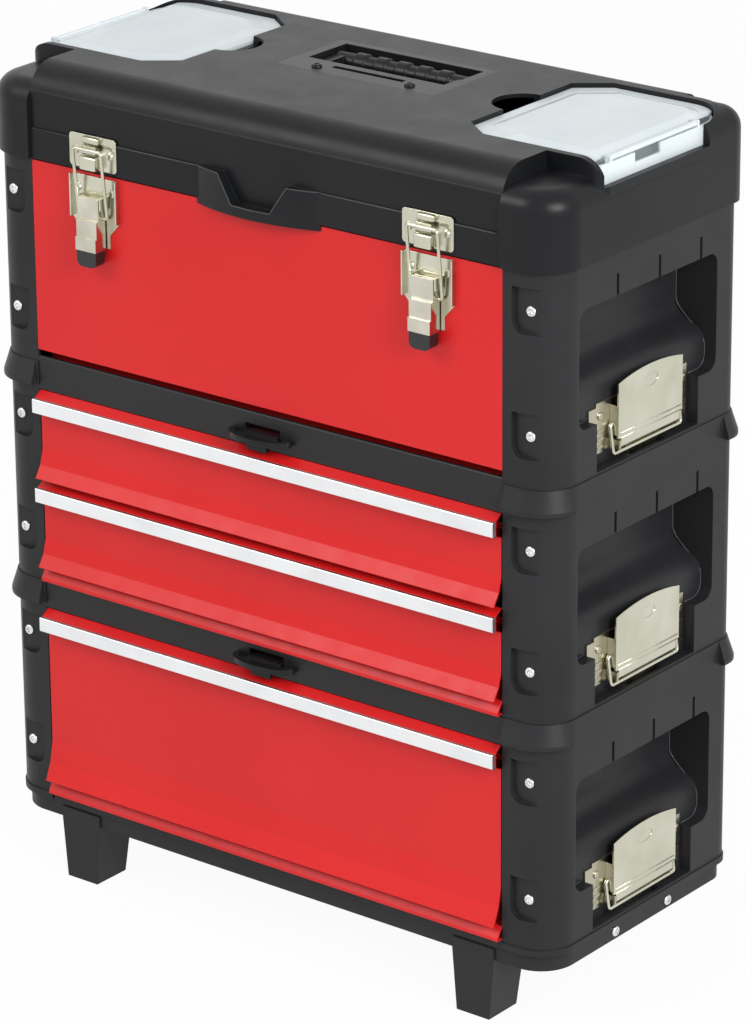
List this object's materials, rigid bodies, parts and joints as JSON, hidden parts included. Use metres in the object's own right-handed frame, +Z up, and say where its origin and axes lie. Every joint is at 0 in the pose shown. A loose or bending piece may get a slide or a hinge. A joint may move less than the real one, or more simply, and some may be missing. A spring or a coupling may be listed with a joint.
{
  "type": "rolling tool box",
  "caption": "Rolling stackable tool box: trolley base, deep-drawer box, drawer box and open-top box under a latched lid with small-parts organizers.",
  "frame": {"origin": "centre of the bounding box's floor rectangle, on the floor", "axes": "+X to the right seen from the front, +Y to the back, +Z up"},
  "size_m": [0.522, 0.3464, 0.642],
  "materials": {
    "black_plastic": "fine-grained satin",
    "tyre_rubber": "matte",
    "black_steel": "satin black paint",
    "red_steel": "semi-gloss red powder coat",
    "pull_aluminium": "satin anodised",
    "nickel_steel": "bright nickel plate",
    "zinc_steel": "zinc plate",
    "clear_cover": "milky translucent plastic"
  },
  "bodies": {
    "trolley": {"base_tray": "black_plastic", "front_feet": "black_plastic", "base_fittings": "zinc_steel", "axle_bracket": "black_steel", "wheel_axle": "zinc_steel", "handle_outer_tubes": "black_steel"},
    "wheel_right": {"wheel_rim_right": "black_plastic", "tyre_right": "tyre_rubber"},
    "wheel_left": {"wheel_rim_left": "black_plastic", "tyre_left": "tyre_rubber"},
    "pull_handle": {"handle_inner_tubes": "zinc_steel", "handle_grip": "black_plastic"},
    "bottom_box": {"bottom_side_panels": "black_plastic", "bottom_fittings": "zinc_steel", "bottom_case": "red_steel", "bottom_slide_channels": "zinc_steel", "bottom_front_rail": "black_steel"},
    "middle_box": {"middle_side_panels": "black_plastic", "middle_fittings": "zinc_steel", "middle_case": "red_steel", "middle_slide_channels": "zinc_steel", "middle_front_rail": "black_steel"},
    "top_box": {"top_side_panels": "black_plastic", "top_fittings": "zinc_steel", "open_box": "red_steel", "box_hinge": "zinc_steel", "draw_latch_bases": "nickel_steel", "tote_tray": "black_plastic"},
    "deep_drawer": {"deep_drawer": "red_steel", "deep_drawer_pull": "pull_aluminium"},
    "upper_drawer": {"upper_drawer": "red_steel", "upper_drawer_pull": "pull_aluminium"},
    "lower_drawer": {"lower_drawer": "red_steel", "lower_drawer_pull": "pull_aluminium"},
    "bottom_catch": {"bottom_thumb_catch": "black_steel"},
    "middle_catch": {"middle_thumb_catch": "black_steel"},
    "lid": {"lid": "black_plastic", "lid_hinge": "zinc_steel", "keepers": "nickel_steel", "handle_frame": "black_plastic", "organizer_boxes": "clear_cover"},
    "carry_handle": {"carry_handle": "black_plastic"},
    "cover_right": {"organizer_cover_right": "clear_cover"},
    "cover_left": {"organizer_cover_left": "clear_cover"},
    "draw_lever_right": {"draw_lever_right": "nickel_steel"},
    "draw_lever_left": {"draw_lever_left": "nickel_steel"},
    "draw_bail_right": {"draw_bail_right": "nickel_steel"},
    "draw_bail_left": {"draw_bail_left": "nickel_steel"},
    "bottom_lever_right": {"bottom_lever_right": "nickel_steel"},
    "bottom_bail_right": {"bottom_bail_right": "nickel_steel"},
    "bottom_lever_left": {"bottom_lever_left": "nickel_steel"},
    "bottom_bail_left": {"bottom_bail_left": "nickel_steel"},
    "middle_lever_right": {"middle_lever_right": "nickel_steel"},
    "middle_bail_right": {"middle_bail_right": "nickel_steel"},
    "middle_lever_left": {"middle_lever_left": "nickel_steel"},
    "middle_bail_left": {"middle_bail_left": "nickel_steel"},
    "top_lever_right": {"top_lever_right": "nickel_steel"},
    "top_bail_right": {"top_bail_right": "nickel_steel"},
    "top_lever_left": {"top_lever_left": "nickel_steel"},
    "top_bail_left": {"top_bail_left": "nickel_steel"}
  },
  "joints": [
    {"name": "handle_slide", "type": "slide", "parent": "trolley", "child": "pull_handle", "axis": [0, 0, -1], "range_m": [-0.35, 0]},
    {"name": "wheel_right_turn", "type": "hinge", "parent": "trolley", "child": "wheel_right", "pos_m": [0.155, 0.12325, 0.05], "axis": [1, 0, 0], "continuous": true},
    {"name": "wheel_left_turn", "type": "hinge", "parent": "trolley", "child": "wheel_left", "pos_m": [-0.155, 0.12325, 0.05], "axis": [1, 0, 0], "continuous": true},
    {"name": "bottom_box_lift", "type": "slide", "parent": "trolley", "child": "bottom_box", "axis": [0, 0, 1], "range_m": [0, 0.06]},
    {"name": "middle_box_lift", "type": "slide", "parent": "bottom_box", "child": "middle_box", "axis": [0, 0, 1], "range_m": [0, 0.06]},
    {"name": "top_box_lift", "type": "slide", "parent": "middle_box", "child": "top_box", "axis": [0, 0, 1], "range_m": [0, 0.06]},
    {"name": "deep_drawer_slide", "type": "slide", "parent": "bottom_box", "child": "deep_drawer", "axis": [0, -1, 0], "range_m": [0, 0.16]},
    {"name": "upper_drawer_slide", "type": "slide", "parent": "middle_box", "child": "upper_drawer", "axis": [0, -1, 0], "range_m": [0, 0.16]},
    {"name": "lower_drawer_slide", "type": "slide", "parent": "middle_box", "child": "lower_drawer", "axis": [0, -1, 0], "range_m": [0, 0.16]},
    {"name": "bottom_catch_hinge", "type": "hinge", "parent": "bottom_box", "child": "bottom_catch", "pos_m": [0, -0.14875, 0.228], "axis": [-1, 0, 0], "range_deg": [0, 18]},
    {"name": "middle_catch_hinge", "type": "hinge", "parent": "middle_box", "child": "middle_catch", "pos_m": [0, -0.14875, 0.402], "axis": [-1, 0, 0], "range_deg": [0, 18]},
    {"name": "lid_hinge", "type": "hinge", "parent": "top_box", "child": "lid", "pos_m": [0, 0.07075, 0.571], "axis": [-1, 0, 0], "range_deg": [0, 95]},
    {"name": "carry_handle_hinge", "type": "hinge", "parent": "lid", "child": "carry_handle", "pos_m": [0, -0.01375, 0.631], "axis": [1, 0, 0], "range_deg": [0, 90]},
    {"name": "cover_right_hinge", "type": "hinge", "parent": "lid", "child": "cover_right", "pos_m": [0.2498, -0.02525, 0.6364], "axis": [0, 1, 0], "range_deg": [0, 110]},
    {"name": "cover_left_hinge", "type": "hinge", "parent": "lid", "child": "cover_left", "pos_m": [-0.2498, -0.02525, 0.6364], "axis": [0, -1, 0], "range_deg": [0, 110]},
    {"name": "draw_lever_right_hinge", "type": "hinge", "parent": "top_box", "child": "draw_lever_right", "pos_m": [0.151, -0.16375, 0.55], "axis": [-1, 0, 0], "range_deg": [0, 120]},
    {"name": "draw_bail_right_hinge", "type": "hinge", "parent": "draw_lever_right", "child": "draw_bail_right", "pos_m": [0.151, -0.16175, 0.538], "axis": [-1, 0, 0], "range_deg": [-120, 0]},
    {"name": "draw_lever_left_hinge", "type": "hinge", "parent": "top_box", "child": "draw_lever_left", "pos_m": [-0.151, -0.16375, 0.55], "axis": [-1, 0, 0], "range_deg": [0, 120]},
    {"name": "draw_bail_left_hinge", "type": "hinge", "parent": "draw_lever_left", "child": "draw_bail_left", "pos_m": [-0.151, -0.16175, 0.538], "axis": [-1, 0, 0], "range_deg": [-120, 0]},
    {"name": "bottom_lever_right_hinge", "type": "hinge", "parent": "bottom_box", "child": "bottom_lever_right", "pos_m": [0.2508, -0.04075, 0.0795], "axis": [0, 1, 0], "range_deg": [0, 100]},
    {"name": "bottom_bail_right_hinge", "type": "hinge", "parent": "bottom_lever_right", "child": "bottom_bail_right", "pos_m": [0.2482, -0.04075, 0.0945], "axis": [0, 1, 0], "range_deg": [-100, 0]},
    {"name": "bottom_lever_left_hinge", "type": "hinge", "parent": "bottom_box", "child": "bottom_lever_left", "pos_m": [-0.2508, -0.04075, 0.0795], "axis": [0, -1, 0], "range_deg": [0, 100]},
    {"name": "bottom_bail_left_hinge", "type": "hinge", "parent": "bottom_lever_left", "child": "bottom_bail_left", "pos_m": [-0.2482, -0.04075, 0.0945], "axis": [0, -1, 0], "range_deg": [-100, 0]},
    {"name": "middle_lever_right_hinge", "type": "hinge", "parent": "middle_box", "child": "middle_lever_right", "pos_m": [0.2508, -0.04075, 0.2535], "axis": [0, 1, 0], "range_deg": [0, 100]},
    {"name": "middle_bail_right_hinge", "type": "hinge", "parent": "middle_lever_right", "child": "middle_bail_right", "pos_m": [0.2482, -0.04075, 0.2685], "axis": [0, 1, 0], "range_deg": [-100, 0]},
    {"name": "middle_lever_left_hinge", "type": "hinge", "parent": "middle_box", "child": "middle_lever_left", "pos_m": [-0.2508, -0.04075, 0.2535], "axis": [0, -1, 0], "range_deg": [0, 100]},
    {"name": "middle_bail_left_hinge", "type": "hinge", "parent": "middle_lever_left", "child": "middle_bail_left", "pos_m": [-0.2482, -0.04075, 0.2685], "axis": [0, -1, 0], "range_deg": [-100, 0]},
    {"name": "top_lever_right_hinge", "type": "hinge", "parent": "top_box", "child": "top_lever_right", "pos_m": [0.2508, -0.04075, 0.4275], "axis": [0, 1, 0], "range_deg": [0, 100]},
    {"name": "top_bail_right_hinge", "type": "hinge", "parent": "top_lever_right", "child": "top_bail_right", "pos_m": [0.2482, -0.04075, 0.4425], "axis": [0, 1, 0], "range_deg": [-100, 0]},
    {"name": "top_lever_left_hinge", "type": "hinge", "parent": "top_box", "child": "top_lever_left", "pos_m": [-0.2508, -0.04075, 0.4275], "axis": [0, -1, 0], "range_deg": [0, 100]},
    {"name": "top_bail_left_hinge", "type": "hinge", "parent": "top_lever_left", "child": "top_bail_left", "pos_m": [-0.2482, -0.04075, 0.4425], "axis": [0, -1, 0], "range_deg": [-100, 0]}
  ],
  "couplings": [
    {"joint": "draw_bail_right_hinge", "follows": "draw_lever_right_hinge", "ratio": -1},
    {"joint": "draw_bail_left_hinge", "follows": "draw_lever_left_hinge", "ratio": -1},
    {"joint": "bottom_bail_right_hinge", "follows": "bottom_lever_right_hinge", "ratio": -1},
    {"joint": "bottom_bail_left_hinge", "follows": "bottom_lever_left_hinge", "ratio": -1},
    {"joint": "middle_bail_right_hinge", "follows": "middle_lever_right_hinge", "ratio": -1},
    {"joint": "middle_bail_left_hinge", "follows": "middle_lever_left_hinge", "ratio": -1},
    {"joint": "top_bail_right_hinge", "follows": "top_lever_right_hinge", "ratio": -1},
    {"joint": "top_bail_left_hinge", "follows": "top_lever_left_hinge", "ratio": -1}
  ]
}
